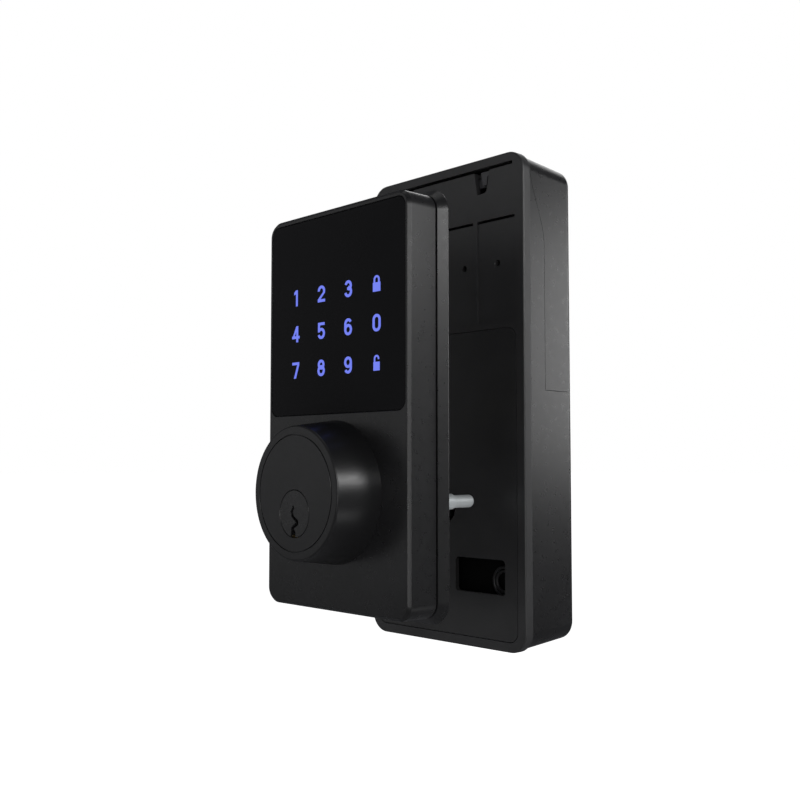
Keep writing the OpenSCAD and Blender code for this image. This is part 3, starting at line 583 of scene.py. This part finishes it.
# a near-black sheet set behind the plate's window: painted shade standing in for the dark inside of the housing
shade_web = cut(prism((2.0, 30, iz0 + 4.5, -12), 1.2, ye + 3.0, ye + 3.8), *[prism((23.1, 24.9, z - 1.7, z + 1.7), 0.85, ye + 2, ye + 5) for z in (-18.1, -25.9)], drum(1.05, ye + 2, ye + 5, 28, -33))
place(finish_normals(join(base, *posts)), "int_base_frame")
shade_web.name = "painted_shade_web"
shade_web.data.materials.clear()
shade_web.data.materials.append(MAT["pocket"])
place(finish_normals(shade_web), body="housing", slot="frame_black")

plate_o = loft("mounting_panel", [inset((-pw, pw, pz0, pz1), d, 3.2, y) for d, y in ((0.12, ye + 1.6), (0, ye + 1.5), (0, ye + 0.16), (0.05, ye + 0.05), (0.16, ye))], "plate_black")
cut(plate_o, drum(5, ye - 1, ye + 3), prism((5.2, 26.1, -26.1, -15.3), 1.2, ye - 1, ye + 3))
place(finish_normals(plate_o), "mounting_plate")

# ---- covers: a drafted box with a rounded room-side edge, split along the battery cover's seam
yroom = max(B["int_cover"][1][1], B["battery_cover"][1][1])


def cover_rings(t, y_first):
    f = 3.2 - min(t, 1.6)
    out_ = [inset(I4, 0.5 + t, 6.4, y_first, 14)]
    for a, b in arc_steps(8):
        out_.append(inset(I4, 1.8 + t + f * a, 7.2 + f * a * 0.75, yroom - t - f + f * b, 14))
    return out_


def cover(name, o, drop):
    c = loft(name, cover_rings(0, yrim + 0.01), "cover_black")
    cut(c, loft("cut", [[v + Vector((0, -0.001, 0)) for v in cover_rings(1.8, yrim)[0]]] + cover_rings(1.8, yrim + 0.01), "tray_black"))
    crv = [(ye + 11.1 + o - 7.4 * (k / 48) ** 2 * (3 - 2 * k / 48), 82.5 + 24.5 * k / 48) for k in range(43)]
    pts = [(yroom + 5, 37.0 + o), (ye + 11.1 + o, 37.0 + o)] + crv + [(yrim + (o if o > 0 else -1), 104.6), (yrim + (o if o > 0 else -1), 115), (yroom + 5, 115)]
    sh = loft("cut", [[Vector((x, y, z)) * MM for y, z in pts] for x in (-40, 40)], "tray_black")
    boolean(c, sh, "DIFFERENCE" if drop else "INTERSECT")
    return c


ic = cover("room_cover", 0.0, True)
cut(ic, drum(7.0, yroom - 5, yroom + 1), loft("cut", [circ(r, y, n=96) for r, y in ((15.6, yroom - 0.6), (15.6, yroom - 0.1), (15.75, yroom), (15.75, yroom + 1))], "tray_black"))
place(finish_normals(ic, 28), "int_cover")
bc = cover("battery_door", 0.15, False)
ribs = [prism((min(s * 29.5, s * 32.1), max(s * 29.5, s * 32.1), 46, 84), 0.3, ye + 12.25, ye + 13.2, 3) for s in (-1, 1)]
place(finish_normals(join(bc, *ribs), 28), "battery_cover")
soften("thumb_turn", lambda x, y, z: 0.35 if y > yroom + 0.05 else 0.0, 3)
